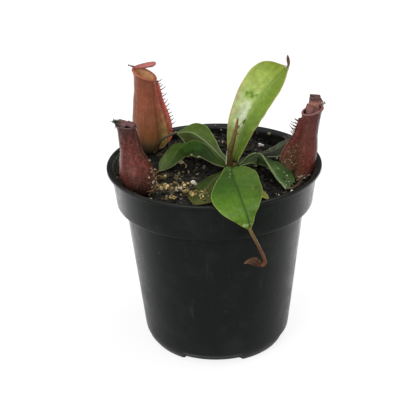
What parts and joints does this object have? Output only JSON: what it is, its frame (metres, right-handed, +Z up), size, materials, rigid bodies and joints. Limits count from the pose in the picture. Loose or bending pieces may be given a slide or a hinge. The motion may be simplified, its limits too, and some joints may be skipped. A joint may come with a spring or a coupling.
{
  "type": "potted pitcher plant",
  "caption": "Young tropical pitcher plant with upright hairy-winged pitchers and glossy leaves, growing in a round black plastic nursery pot filled with potting mix.",
  "frame": {"origin": "centre of the pot's flat underside, on the plane that the pot stands on", "axes": "+Z up along the pot's axis, -Y the front that the broad hanging leaf points to, +X to the right seen from the front"},
  "size_m": [0.1091, 0.1183, 0.1468],
  "materials": {
    "pot_plastic": "injection-moulded, satin, fine scuffs and dust",
    "potting_mix": "moist peat and bark fines, crumbly, matt",
    "stem_bark": "fibrous, matt",
    "leaf_bright": "waxy leaf skin, fine veins, soft gloss",
    "leaf_green": "waxy leaf skin, fine veins, soft gloss",
    "leaf_dark": "waxy leaf skin, fine veins, soft gloss",
    "leaf_faded": "ageing leaf skin, parallel veins, matt",
    "leaf_rolled": "rolled young leaf, brown scurf, matt",
    "tendril_brown": "dry tendril, matt",
    "pitcher_orange": "fleshy pitcher wall, satin, faint veins",
    "pitcher_maroon": "fleshy pitcher wall, satin, mottled",
    "pitcher_dried": "shrivelled, matt",
    "lid_pink": "thin lid, satin",
    "lid_withered": "withered lid, wrinkled, matt",
    "perlite": "porous white grain, matt",
    "vermiculite": "golden flaky grain, pearly",
    "bark": "weathered chip, matt"
  },
  "bodies": {
    "root": {"pot": "pot_plastic", "soil": "potting_mix", "rootstock": "stem_bark", "leaf_upright": "leaf_bright", "leaf_front": "leaf_green", "leaf_back_left": "leaf_green", "leaf_left": "leaf_dark", "leaf_right": "leaf_dark", "leaf_right_back": "leaf_faded", "leaf_small_back": "leaf_dark", "leaf_old": "leaf_faded", "leaf_low_front": "leaf_faded", "new_leaf_spike": "leaf_rolled", "tip_bud": "tendril_brown", "pitcher_tall": "pitcher_orange", "pitcher_left": "pitcher_maroon", "pitcher_right": "pitcher_maroon", "pitcher_dried": "pitcher_dried", "lid_tall": "lid_pink", "lid_left": "lid_withered", "lid_right": "lid_withered", "tendril_front": "tendril_brown", "tendril_tall": "tendril_brown", "tendril_left": "tendril_brown", "tendril_right": "tendril_brown", "perlite_1": "perlite", "perlite_2": "perlite", "perlite_3": "perlite", "perlite_4": "perlite", "perlite_5": "perlite", "vermiculite_1": "vermiculite", "vermiculite_2": "vermiculite", "vermiculite_3": "vermiculite", "vermiculite_4": "vermiculite", "vermiculite_5": "vermiculite", "vermiculite_6": "vermiculite", "bark_1": "bark"}
  },
  "joints": []
}
